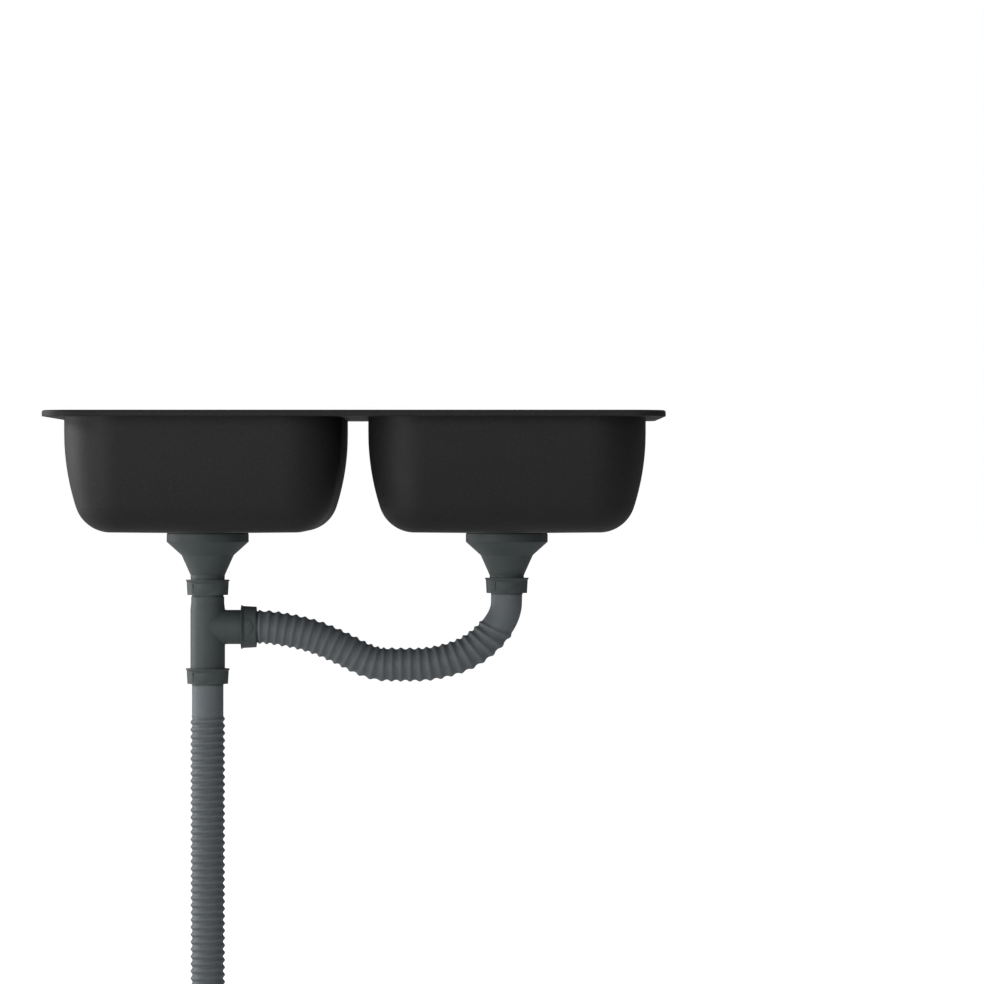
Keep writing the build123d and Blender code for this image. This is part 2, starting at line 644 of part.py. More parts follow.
def make_branch_hose():
    """Hose with plain ring ribs from the right waste to the tee."""
    points = [(x, WASTE_Y, BRANCH_Z + z) for x, z in BRANCH_ROUTE]
    radii = route_radii(points)
    print("branch hose radii:", [round(radius) for radius in radii])
    path = FilletPolyline(*points, radius=radii)
    pitch = (path.length - BRANCH_CUFF - SIDE_CUFF) / BRANCH_RIBS
    valley, crest = TUBE_R + BRANCH_VALLEY, TUBE_R + BRANCH_CREST
    wave = (valley, crest, crest, valley)
    rings = [(0, TUBE_R)]
    for step in range(CUFF_STEPS + 1):
        rings.append((BRANCH_STRAIGHT + step * (BRANCH_CUFF - BRANCH_STRAIGHT) / CUFF_STEPS, TUBE_R))
    for rib in range(BRANCH_RIBS):
        for step in range(RIB_STEPS):
            rings.append((BRANCH_CUFF + (rib + (step + 0.5) / RIB_STEPS) * pitch, wave[step]))
    rings += [(path.length - SIDE_CUFF, TUBE_R), (path.length, TUBE_R)]

    sections = []
    for distance, radius in rings:
        here = path.position_at(distance, position_mode=PositionMode.LENGTH)
        along = path.tangent_at(distance, position_mode=PositionMode.LENGTH)
        sections.append(Plane(origin=here, x_dir=(0, 1, 0), z_dir=along) * Circle(radius))
    bore = sweep(Plane(origin=path @ 0, x_dir=(0, 1, 0), z_dir=path % 0) * Circle(HOSE_BORE_R), path=path)
    return loft(sections, ruled=True) - bore


def make_drop_hose():
    """Hose with a spiral rib, hanging straight down from the tee, about its own axis."""

    def circle_at(height, radius, throw, angle):
        centre = (throw * cos(angle), throw * sin(angle), height)
        return Plane(origin=centre, x_dir=(1, 0, 0), z_dir=(0, 0, -1)) * Circle(radius)

    sections = [circle_at(DROP_TOP_Z, TUBE_R, 0, 0), circle_at(DROP_RIB_Z, TUBE_R, 0, 0)]
    for index in range(1, DROP_RIBS * RIB_STEPS):
        height = DROP_RIB_Z - index * DROP_RIB_PITCH / RIB_STEPS
        angle = (index + 0.5) * 2 * pi / RIB_STEPS
        sections.append(circle_at(height, TUBE_R + DROP_RIB, DROP_RIB_THROW, angle))
    sections += [circle_at(DROP_RIB_END_Z, TUBE_R, 0, 0), circle_at(DROP_END_Z, TUBE_R, 0, 0)]
    length = DROP_TOP_Z - DROP_END_Z
    bore = Pos(0, 0, DROP_END_Z + length / 2) * Cylinder(HOSE_BORE_R, length + 2 * PAST)
    return loft(sections, ruled=True) - bore


def make_outlet_spigot():
    """End piece of the drop hose: a collar over the hose and a plain spigot for the house drain."""
    seat = OUTLET_Z - OUTLET_COLLAR
    low = seat - OUTLET_PIN
    return turned(
        (SOCKET_R, OUTLET_Z),
        (OUTLET_COLLAR_R - OUTLET_CHAMFER, OUTLET_Z),
        (OUTLET_COLLAR_R, OUTLET_Z - OUTLET_CHAMFER),
        (OUTLET_COLLAR_R, seat),
        (OUTLET_PIN_R, seat),
        (OUTLET_PIN_R, low + OUTLET_CHAMFER),
        (OUTLET_PIN_R - OUTLET_CHAMFER, low),
        (TUBE_BORE_R, low),
        (TUBE_BORE_R, seat),
        (SOCKET_R, seat),
    )


# ---------------------------------------------------------------- assembly

nodes = {"sink_body": make_sink_body()}

for name, side, nut_z, turn in [
    ("left", -1, LEFT_NUT_Z, 0.0),
    ("right", 1, RIGHT_NUT_Z, RIGHT_NUT_TURN),
]:
    at_waste = Pos(side * BOWL_X, WASTE_Y)
    nodes[f"{name}_strainer_flange"] = at_waste * make_strainer_flange()
    nodes[f"{name}_flange_gasket"] = at_waste * make_flange_gasket()
    nodes[f"{name}_bowl_gasket"] = at_waste * make_bowl_gasket()
    nodes[f"{name}_basket"] = at_waste * make_basket()
    nodes[f"{name}_basket_seal"] = at_waste * make_basket_seal()
    nodes[f"{name}_basket_knob"] = at_waste * make_basket_knob()
    nodes[f"{name}_clamp_screw"] = at_waste * make_clamp_screw()
    nodes[f"{name}_waste_funnel"] = at_waste * make_funnel(nut_z)
    nodes[f"{name}_coupling_nut"] = at_waste * Pos(0, 0, nut_z) * Rot(Z=turn) * make_nut()
    nodes[f"{name}_coupling_washer"] = at_waste * Pos(0, 0, nut_z) * make_washer()

at_tee = Pos(-BOWL_X, WASTE_Y)
at_lower_nut = at_tee * Pos(0, 0, LOWER_NUT_Z)
at_side_nut = Pos(SIDE_NUT_X, WASTE_Y, BRANCH_Z) * Rot(Y=-90)
nodes["waste_tee"] = at_tee * make_tee()
nodes["lower_nut"] = at_lower_nut * make_nut()
nodes["lower_washer"] = at_lower_nut * make_washer()
nodes["side_nut"] = at_side_nut * make_nut()
nodes["side_washer"] = at_side_nut * make_washer()
nodes["branch_hose"] = make_branch_hose()
nodes["drop_hose"] = at_tee * make_drop_hose()
nodes["outlet_spigot"] = at_tee * make_outlet_spigot()

os.makedirs("parts", exist_ok=True)
for name, shape in nodes.items():
    export_step(shape, f"parts/{name}.step")
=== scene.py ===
from math import pi, radians

import bmesh
import bpy
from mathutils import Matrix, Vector


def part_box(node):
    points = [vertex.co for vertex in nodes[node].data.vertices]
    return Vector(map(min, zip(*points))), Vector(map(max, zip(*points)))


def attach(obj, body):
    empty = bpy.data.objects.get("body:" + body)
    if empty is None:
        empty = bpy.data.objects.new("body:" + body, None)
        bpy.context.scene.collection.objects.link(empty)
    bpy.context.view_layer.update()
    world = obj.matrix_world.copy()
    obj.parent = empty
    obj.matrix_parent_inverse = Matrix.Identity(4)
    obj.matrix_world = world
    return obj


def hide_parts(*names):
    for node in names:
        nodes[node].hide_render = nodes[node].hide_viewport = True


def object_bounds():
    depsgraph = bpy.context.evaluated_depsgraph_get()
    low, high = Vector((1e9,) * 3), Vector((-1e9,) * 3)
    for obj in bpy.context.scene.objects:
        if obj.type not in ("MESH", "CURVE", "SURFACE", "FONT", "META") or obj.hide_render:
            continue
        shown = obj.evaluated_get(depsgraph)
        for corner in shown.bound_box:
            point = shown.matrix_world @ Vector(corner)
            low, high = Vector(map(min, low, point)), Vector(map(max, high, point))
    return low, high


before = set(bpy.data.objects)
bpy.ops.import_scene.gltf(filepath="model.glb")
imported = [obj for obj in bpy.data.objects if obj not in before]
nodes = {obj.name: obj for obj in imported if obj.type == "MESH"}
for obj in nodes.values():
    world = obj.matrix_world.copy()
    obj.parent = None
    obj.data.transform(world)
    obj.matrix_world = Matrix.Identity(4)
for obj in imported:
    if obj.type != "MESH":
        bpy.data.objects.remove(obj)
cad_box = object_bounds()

# Double bowl kitchen sink: its finishes, and its two ribbed hoses as detailed meshes.
# Everything is in metres, in the part's own frame.

MM = 0.001
BODY = "sink"

# ---------------------------------------------------------------- places taken from the frame


def middle(name):
    """The middle of a node's box."""
    low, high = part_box(name)
    return (low + high) / 2


# the left waste mirrors the right one
WASTE_X, WASTE_Y, _ = middle("right_waste_funnel")
FLOOR_Z = cad_box[0].z

# ---------------------------------------------------------------- node tree helpers


def fill(tree, socket, value):
    """Gives a socket another node's output, or a number, a vector or a colour of its own."""
    if isinstance(value, bpy.types.NodeSocket):
        tree.links.new(value, socket)
    else:
        socket.default_value = value


def add(tree, kind, inputs=None, **settings):
    """Adds a node, with its settings and then its inputs by name or number."""
    node = tree.nodes.new(kind)
    for key, value in settings.items():
        setattr(node, key, value)
    for key, value in (inputs or {}).items():
        fill(tree, node.inputs[key], value)
    return node


def calc(tree, operation, a, b=0.0, c=0.0, clamp=False):
    """The value of a Math node."""
    node = add(tree, "ShaderNodeMath", {0: a, 1: b, 2: c}, operation=operation, use_clamp=clamp)
    return node.outputs["Value"]


def between(tree, factor, low, high):
    """The number that lies between two by a factor."""
    return calc(tree, "MULTIPLY_ADD", factor, calc(tree, "SUBTRACT", high, low), low)


def vector_calc(tree, operation, a, b):
    """A Vector Math node's outputs."""
    return add(tree, "ShaderNodeVectorMath", {0: a, 1: b}, operation=operation).outputs


def noise(tree, place, scale, detail, roughness=0.5):
    """A noise from 0 to 1."""
    inputs = {"Vector": place, "Scale": scale, "Detail": detail, "Roughness": roughness}
    return add(tree, "ShaderNodeTexNoise", inputs).outputs["Fac"]


def sockets(tree, inputs, outputs):
    """Makes a group's sockets from {name: (type, default)} and gives its input and output nodes."""
    for direction, wanted in (("INPUT", inputs), ("OUTPUT", outputs)):
        for name, (kind, default) in wanted.items():
            socket = tree.interface.new_socket(name, in_out=direction, socket_type="NodeSocket" + kind)
            if default is not None:
                socket.default_value = default
    return tree.nodes.new("NodeGroupInput"), tree.nodes.new("NodeGroupOutput")


# ---------------------------------------------------------------- shared surface effects


def mineral_grain():
    """Crushed-stone grain: a mask of pale specks, a slow cloud and a height."""
    fade = 1.6  # how fast a grain falls off from its middle
    cloud_scale, cloud_detail = 14.0, 3.0
    pits_per_grain, pits_detail, pits_share = 1.7, 2.0, 0.7

    tree = bpy.data.node_groups.new("mineral_grain", "ShaderNodeTree")
    start, end = sockets(
        tree,
        {"Vector": ("Vector", None), "Grain": ("Float", 1.2 * MM), "Specks": ("Float", 0.12)},
        {"Speck": ("Float", None), "Cloud": ("Float", None), "Height": ("Float", None)},
    )
    place = start.outputs["Vector"]
    scale = calc(tree, "DIVIDE", 1.0, start.outputs["Grain"])
    cells = add(tree, "ShaderNodeTexVoronoi", {"Vector": place, "Scale": scale}).outputs
    pick = add(tree, "ShaderNodeSeparateColor", {"Color": cells["Color"]}).outputs["Red"]
    chosen = calc(tree, "LESS_THAN", pick, start.outputs["Specks"])
    core = calc(tree, "SUBTRACT", 1.0, calc(tree, "MULTIPLY", cells["Distance"], fade), clamp=True)
    cloud = noise(tree, place, cloud_scale, cloud_detail)
    pits = noise(tree, place, calc(tree, "MULTIPLY", scale, pits_per_grain), pits_detail)
    fill(tree, end.inputs["Speck"], calc(tree, "MULTIPLY", chosen, core))
    fill(tree, end.inputs["Cloud"], cloud)
    fill(tree, end.inputs["Height"], between(tree, pits_share, core, pits))
    return tree


def edge_wear():
    """Rounded edges: a softened normal, and a mask that rises along them where patches of use reach."""
    bend_gain = 5.0
    patch_detail, patch_gain, patch_start = 5.0, 3.0, -1.0

    tree = bpy.data.node_groups.new("edge_wear", "ShaderNodeTree")
    start, end = sockets(
        tree,
        {"Vector": ("Vector", None), "Radius": ("Float", 0.6 * MM), "Patch": ("Float", 60.0)},
        {"Edge": ("Float", None), "Normal": ("Vector", None)},
    )
    soft = add(tree, "ShaderNodeBevel", {"Radius": start.outputs["Radius"]}, samples=6).outputs["Normal"]
    true = add(tree, "ShaderNodeNewGeometry").outputs["Normal"]
    match = vector_calc(tree, "DOT_PRODUCT", soft, true)["Value"]
    bend = calc(tree, "MULTIPLY", calc(tree, "SUBTRACT", 1.0, match), bend_gain, clamp=True)
    patch = noise(tree, start.outputs["Vector"], start.outputs["Patch"], patch_detail)
    use = calc(tree, "MULTIPLY_ADD", patch, patch_gain, patch_start, clamp=True)
    fill(tree, end.inputs["Edge"], calc(tree, "MULTIPLY", bend, use))
    fill(tree, end.inputs["Normal"], soft)
    return tree


def moulded_skin():
    """Moulded skin: fine texture height, slow shade change and faint rubbed patches."""
    fine_detail = 2.0
    shade_scale, shade_detail = 32.0, 4.0
    rub_scale, rub_detail, rub_roughness = 75.0, 6.0, 0.7
    rub_start, rub_full = 0.56, 0.72

    tree = bpy.data.node_groups.new("moulded_skin", "ShaderNodeTree")
    start, end = sockets(
        tree,
        {"Vector": ("Vector", None), "Grain": ("Float", 0.5 * MM)},
        {"Shade": ("Float", None), "Rub": ("Float", None), "Height": ("Float", None)},
    )
    place = start.outputs["Vector"]
    scale = calc(tree, "DIVIDE", 1.0, start.outputs["Grain"])
    patches = noise(tree, place, rub_scale, rub_detail, rub_roughness)
    rub = add(tree, "ShaderNodeMapRange", {"Value": patches, "From Min": rub_start, "From Max": rub_full})
    fill(tree, end.inputs["Shade"], noise(tree, place, shade_scale, shade_detail))
    fill(tree, end.inputs["Rub"], rub.outputs["Result"])
    fill(tree, end.inputs["Height"], noise(tree, place, scale, fine_detail))
    return tree


GRAIN = mineral_grain()
SKIN = moulded_skin()
WEAR = edge_wear()


# ---------------------------------------------------------------- material helpers

# the sockets of a colour Mix node by number, because its other kinds use the same names
MIX_FACTOR, MIX_LOW, MIX_HIGH, MIX_RESULT = 0, 6, 7, 2


def new_material(name):
    """A material, its tree and its Principled BSDF."""
    material = bpy.data.materials.new(name)
    material.use_nodes = True
    tree = material.node_tree
    return material, tree, tree.nodes["Principled BSDF"]


def place_on_piece(tree):
    """The place that a piece's patterns are read at."""
    return add(tree, "ShaderNodeTexCoord").outputs["Object"]


def grey(value, red=1.0, green=1.0, blue=1.0):
    """A linear colour close to grey."""
    return (value * red, value * green, value * blue, 1.0)


def shaded(colour, factor):
    """A colour made lighter or darker."""
    return tuple(factor * channel for channel in colour[:3]) + (1.0,)


def blend_colours(tree, mask, low, high):
    """The colour between two, by a mask."""
    node = add(tree, "ShaderNodeMix", data_type="RGBA")
    for number, value in ((MIX_FACTOR, mask), (MIX_LOW, low), (MIX_HIGH, high)):
        fill(tree, node.inputs[number], value)
    return node.outputs[MIX_RESULT]


def bump(tree, height, distance, normal=None):
    """The normal of a surface with small heights, over another normal where one is given."""
    inputs = {"Height": height, "Distance": distance, "Strength": 1.0}
    if normal:
        inputs["Normal"] = normal
    return add(tree, "ShaderNodeBump", inputs).outputs["Normal"]


def effect(tree, group, **values):
    """Places a shared effect in a material with its own values, and gives its outputs."""
    inputs = {key.capitalize(): value for key, value in values.items()}
    return add(tree, "ShaderNodeGroup", inputs, node_tree=group).outputs


def finish(shader, tree, colour, roughness, normal):
    """Joins what varies over a surface to its shader."""
    for name, value in (("Base Color", colour), ("Roughness", roughness), ("Normal", normal)):
        fill(tree, shader.inputs[name], value)


# ---------------------------------------------------------------- materials


def make_composite():
    """Black stone composite: satin, with fine pale specks and a soft cloud in its gloss."""
    dark, light = grey(0.0108), grey(0.0149)
    speck, worn = grey(0.045), grey(0.04)
    wear_share = 0.4
    roughness, cloud_roughness = 0.5, 0.16

    material, tree, shader = new_material("black_composite")
    place = place_on_piece(tree)
    grain = effect(tree, GRAIN, vector=place, grain=0.9 * MM, specks=0.10)
    wear = effect(tree, WEAR, vector=place, radius=1.0 * MM, patch=40.0)
    base = blend_colours(tree, grain["Cloud"], dark, light)
    colour = blend_colours(tree, grain["Speck"], base, speck)
    colour = blend_colours(tree, calc(tree, "MULTIPLY", wear["Edge"], wear_share), colour, worn)
    rough = calc(tree, "MULTIPLY_ADD", grain["Cloud"], cloud_roughness, roughness)
    normal = bump(tree, grain["Height"], distance=0.06 * MM, normal=wear["Normal"])
    shader.inputs["Specular IOR Level"].default_value = 0.32
    finish(shader, tree, colour, rough, normal)
    return material


def make_plastic(name, colour, grain):
    """Moulded plastic: slow shade change, painted shade that darkens the valleys between ribs, rubbed
    patches and paler edges.
    """
    dark, light, worn = shaded(colour, 0.88), shaded(colour, 1.12), shaded(colour, 1.35)
    # painted shade: the dark colour that the valleys between ribs are blended towards
    valley_painted_shade_colour = grey(0.4 * colour[1])
    rub_share, wear_share = 0.35, 0.6
    roughness, rub_gloss = 0.56, -0.16

    material, tree, shader = new_material(name)
    place = place_on_piece(tree)
    skin = effect(tree, SKIN, vector=place, grain=grain)
    wear = effect(tree, WEAR, vector=place, radius=0.5 * MM, patch=90.0)
    valley_painted_shade = add(tree, "ShaderNodeAttribute", attribute_name="valley_painted_shade").outputs["Fac"]
    base = blend_colours(tree, skin["Shade"], dark, light)
    # painted shade in the valleys between the hose's ribs, stored on the hose mesh
    base = blend_colours(tree, valley_painted_shade, base, valley_painted_shade_colour)
    rubbed = calc(tree, "MULTIPLY", skin["Rub"], rub_share)
    rub = calc(tree, "MAXIMUM", rubbed, calc(tree, "MULTIPLY", wear["Edge"], wear_share))
    rough = calc(tree, "MULTIPLY_ADD", rub, rub_gloss, roughness)
    normal = bump(tree, skin["Height"], distance=0.02 * MM, normal=wear["Normal"])
    shader.inputs["Specular IOR Level"].default_value = 0.35
    colour = blend_colours(tree, rub, base, worn)
    finish(shader, tree, colour, rough, normal)
    return material


def make_steel(name, roughness):
    """Stainless steel, brushed in rings round each waste."""
    dark, light = grey(0.42), grey(0.6)
    turn_stretch = 0.004  # a brush line's change along its ring, against that across it
    line_scale, line_detail, line_roughness = 2600.0, 3.0, 0.14

    material, tree, shader = new_material(name)
    place = place_on_piece(tree)
    split = add(tree, "ShaderNodeSeparateXYZ", {"Vector": place}).outputs
    x = calc(tree, "SUBTRACT", calc(tree, "ABSOLUTE", split["X"]), WASTE_X)
    y = calc(tree, "SUBTRACT", split["Y"], WASTE_Y)
    squares = calc(tree, "ADD", calc(tree, "MULTIPLY", x, x), calc(tree, "MULTIPLY", y, y))
    reach = calc(tree, "SQRT", squares)
    turn = calc(tree, "MULTIPLY", calc(tree, "ARCTAN2", y, x), turn_stretch)
    rings = add(tree, "ShaderNodeCombineXYZ", {"X": reach, "Y": turn, "Z": split["Z"]})
    lines = noise(tree, rings.outputs["Vector"], line_scale, line_detail)
    shader.inputs["Metallic"].default_value = 1.0
    colour = blend_colours(tree, lines, dark, light)
    rough = calc(tree, "MULTIPLY_ADD", lines, line_roughness, roughness)
    finish(shader, tree, colour, rough, bump(tree, lines, distance=0.01 * MM))
    return material


def make_rubber():
    """Black rubber with a dull bloom."""
    dark, light, bloom = grey(0.008), grey(0.016), grey(0.03)
    roughness, shade_roughness = 0.6, 0.2

    material, tree, shader = new_material("black_rubber")
    place = place_on_piece(tree)
    skin = effect(tree, SKIN, vector=place, grain=0.7 * MM)
    base = blend_colours(tree, skin["Shade"], dark, light)
    colour = blend_colours(tree, skin["Rub"], base, bloom)
    rough = calc(tree, "MULTIPLY_ADD", skin["Shade"], shade_roughness, roughness)
    finish(shader, tree, colour, rough, bump(tree, skin["Height"], distance=0.04 * MM))
    return material


COMPOSITE = make_composite()
FITTING = make_plastic("fitting_plastic", grey(0.073, 0.9, 1.07, 1.1), 0.55 * MM)
HOSE = make_plastic("hose_plastic", grey(0.152, 0.92, 1.03, 1.11), 0.4 * MM)
BRUSHED = make_steel("brushed_steel", 0.24)
POLISHED = make_steel("polished_steel", 0.12)
RUBBER = make_rubber()

# by the ending of a node's name, where the longest that fits counts
FINISHES = {
    "sink_body": COMPOSITE,
    "strainer_flange": BRUSHED,
    "basket": BRUSHED,
    "basket_knob": POLISHED,
    "clamp_screw": POLISHED,
    "flange_gasket": RUBBER,
    "bowl_gasket": RUBBER,
    "basket_seal": RUBBER,
    "washer": RUBBER,
    "waste_funnel": FITTING,
    "nut": FITTING,
    "waste_tee": FITTING,
    "outlet_spigot": HOSE,
    "hose": HOSE,
}

for name, node in nodes.items():
    ending = max((end for end in FINISHES if name.endswith(end)), key=len)
    node.data.materials.clear()
    node.data.materials.append(FINISHES[ending])


# ---------------------------------------------------------------- the hoses' sizes

# the routes of the two hoses, as X and Z in the wastes' upright plane
BRANCH_ROUTE = [
    (0.2015, -0.2040),
    (0.2015, -0.2290),
    (0.2006, -0.2690),
    (0.1592, -0.3138),
    (0.1040, -0.3320),
    (0.0520, -0.3322),
    (0.0200, -0.3312),
    (-0.0240, -0.3082),
    (-0.0640, -0.2913),
    (-0.1165, -0.2813),
    (-0.1450, -0.2814),
    (-0.1686, -0.2814),
]
DROP_ROUTE = [(-0.2015, -0.3252), (-0.2015, -0.5680), (-0.2015, -0.8113)]

# at each end the neck is the length inside the coupling, and the plain length has no ribs;
# the lag, the lean and the spiral are counted in ribs
BRANCH_SIZES = {
    "Steps": 440,
    "Neck Start": BRANCH_ROUTE[0][1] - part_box("right_coupling_nut")[0].z,
    "Neck End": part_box("side_nut")[1].x - BRANCH_ROUTE[-1][0],
    "Plain Start": 79.2 * MM,
    "Plain End": 31.2 * MM,
    "Ribs": 29,
    "Lag": 0.6,
    "Lean": (0.32, 0.0, -0.32),
    "Plain Radius": 21.0 * MM,
    "Valley Radius": 20.6 * MM,
    "Crest Radius": 23.1 * MM,
    # how strongly painted shade darkens the valleys between ribs
    "Valley Painted Shade": 0.4,
}
DROP_SIZES = {
    "Steps": 560,
    "Neck Start": DROP_ROUTE[0][1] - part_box("lower_nut")[0].z,
    "Neck End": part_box("outlet_spigot")[1].z - DROP_ROUTE[-1][1],
    "Plain Start": 74.8 * MM,
    "Plain End": 36.6 * MM,
    "Ribs": 38,
    "Spiral": 1.0,
    "Plain Radius": 21.2 * MM,
    "Valley Radius": 20.8 * MM,
    "Crest Radius": 23.4 * MM,
    "Sharpness": 1.1,
    # how strongly painted shade darkens the valleys between ribs
    "Valley Painted Shade": 0.3,
}

CURVE_STEPS = 24  # of each stretch of a hose's line
BORE_STEPS = 4  # the bore has one ring for this many of the skin's
RIB_FADE = 0.5  # the ribs fade in and out over this part of a rib
LEAN_FADE = 8.0  # the power by which the first ribs' lean dies away
END_RINGS = 0.0001  # the part of the line at each end where the skin closes onto the bore
MERGE = 0.02 * MM  # points nearer than this become one


# ---------------------------------------------------------------- ribbed hoses


def route_curve(name, route):
    """A hose's centre line: one smooth spline through the route's points."""
    data = bpy.data.curves.new(name, "CURVE")
    data.dimensions = "3D"
    data.resolution_u = CURVE_STEPS
    spline = data.splines.new("NURBS")
    spline.points.add(len(route) - 1)
    for point, (x, z) in zip(spline.points, route):
        point.co = (x, WASTE_Y, z, 1.0)
    spline.order_u = 3
    spline.use_endpoint_u = True
    curve = bpy.data.objects.new(name, data)
    bpy.context.scene.collection.objects.link(curve)
    return curve


def kept(tree, geometry, facts):
    """Keeps facts on a geometry's points, from {name: (type, output)}."""
    node = add(tree, "GeometryNodeCaptureAttribute", domain="POINT")
    for label, (kind, _) in facts.items():
        node.capture_items.new(kind, label)
    fill(tree, node.inputs["Geometry"], geometry)
    for label, (_, output) in facts.items():
        fill(tree, node.inputs[label], output)
    return node.outputs


def tube(tree, given, steps):
    """A tube of the plain radius round the line, with its line's and its circle's facts on its points."""
    line = add(
        tree, "GeometryNodeResampleCurve", {"Curve": given["Geometry"], "Count": steps}, mode="COUNT"
    )
    along = add(tree, "GeometryNodeSplineParameter").outputs
    line_facts = kept(
        tree,
        line.outputs["Curve"],
        {
            "middle": ("VECTOR", add(tree, "GeometryNodeInputPosition").outputs["Position"]),
            "length": ("FLOAT", along["Length"]),
            "share": ("FLOAT", along["Factor"]),
        },
    )
    circle = add(
        tree,
        "GeometryNodeCurvePrimitiveCircle",
        {"Resolution": given["Sides"], "Radius": given["Plain Radius"]},
    )
    around = add(tree, "GeometryNodeSplineParameter").outputs["Factor"]
    circle_facts = kept(tree, circle.outputs["Curve"], {"turn": ("FLOAT", around)})
    swept = add(
        tree,
        "GeometryNodeCurveToMesh",
        {"Curve": line_facts["Geometry"], "Profile Curve": circle_facts["Geometry"]},
    )
    return swept.outputs["Mesh"], line_facts, circle_facts["turn"]


def outward(tree, middle_point):
    """The unit vector from a tube's middle to its skin."""
    spot = add(tree, "GeometryNodeInputPosition").outputs["Position"]
    out = vector_calc(tree, "SUBTRACT", spot, middle_point)["Vector"]
    return add(tree, "ShaderNodeVectorMath", {0: out}, operation="NORMALIZE").outputs["Vector"]


def at_radius(tree, mesh, middle_point, radius):
    """Moves a tube's points out or in to a radius."""
    inputs = {0: outward(tree, middle_point), "Scale": radius}
    reach = add(tree, "ShaderNodeVectorMath", inputs, operation="SCALE").outputs["Vector"]
    place = vector_calc(tree, "ADD", middle_point, reach)["Vector"]
    moved = add(tree, "GeometryNodeSetPosition", {"Geometry": mesh, "Position": place})
    return moved.outputs["Geometry"]


def rib_count(tree, given, line, whole):
    """How many ribs lie before a point of the skin."""
    after_plain = calc(tree, "SUBTRACT", whole, given["Plain Start"])
    ribbed = calc(tree, "SUBTRACT", after_plain, given["Plain End"])
    part = calc(tree, "DIVIDE", calc(tree, "SUBTRACT", line["length"], given["Plain Start"]), ribbed)
    # the ribs open a little on the way and close again, by a lag counted in ribs
    swing = calc(tree, "MULTIPLY", calc(tree, "SINE", calc(tree, "MULTIPLY", part, pi)), given["Lag"])
    count = calc(tree, "SUBTRACT", calc(tree, "MULTIPLY", part, given["Ribs"]), swing)
    # the first ribs lean in the bend before them, by a lean in ribs along the side that comes early
    side = vector_calc(tree, "DOT_PRODUCT", outward(tree, line["middle"]), given["Lean"])["Value"]
    fading = calc(tree, "POWER", calc(tree, "SUBTRACT", 1.0, part, clamp=True), LEAN_FADE)
    return calc(tree, "MULTIPLY_ADD", side, fading, count)


def skin_radius(tree, given, line, turn, whole):
    """The skin's radius, and the painted shade that darkens its valleys."""
    count = rib_count(tree, given, line, whole)
    phase = calc(tree, "SUBTRACT", count, calc(tree, "MULTIPLY", turn, given["Spiral"]))
    swing = calc(tree, "COSINE", calc(tree, "MULTIPLY", phase, 2 * pi))
    wave = calc(tree, "SUBTRACT", 0.5, calc(tree, "MULTIPLY", swing, 0.5))
    crest = calc(tree, "POWER", wave, given["Sharpness"])
    height = between(tree, crest, given["Valley Radius"], given["Crest Radius"])

    from_start = calc(tree, "DIVIDE", count, RIB_FADE, clamp=True)
    from_end = calc(tree, "DIVIDE", calc(tree, "SUBTRACT", given["Ribs"], count), RIB_FADE, clamp=True)
    there = calc(tree, "MULTIPLY", from_start, from_end)
    radius = between(tree, there, given["Plain Radius"], height)
    # painted shade: the valleys get darker colour, fading in and out with the ribs
    depth = calc(tree, "MULTIPLY", there, given["Valley Painted Shade"])
    shade = calc(tree, "MULTIPLY", calc(tree, "SUBTRACT", 1.0, crest), depth)

    # each end is slimmer where it is inside its coupling
    to_end = calc(tree, "SUBTRACT", whole, line["length"])
    past_start = calc(tree, "GREATER_THAN", line["length"], given["Neck Start"])
    past_end = calc(tree, "GREATER_THAN", to_end, given["Neck End"])
    outside = calc(tree, "MULTIPLY", past_start, past_end)
    radius = between(tree, outside, given["Neck Radius"], radius)

    # the first and the last ring close the tube onto its bore
    from_middle = calc(tree, "ABSOLUTE", calc(tree, "SUBTRACT", line["share"], 0.5))
    inside = calc(tree, "LESS_THAN", from_middle, 0.5 - END_RINGS)
    return between(tree, inside, given["Bore Radius"], radius), shade


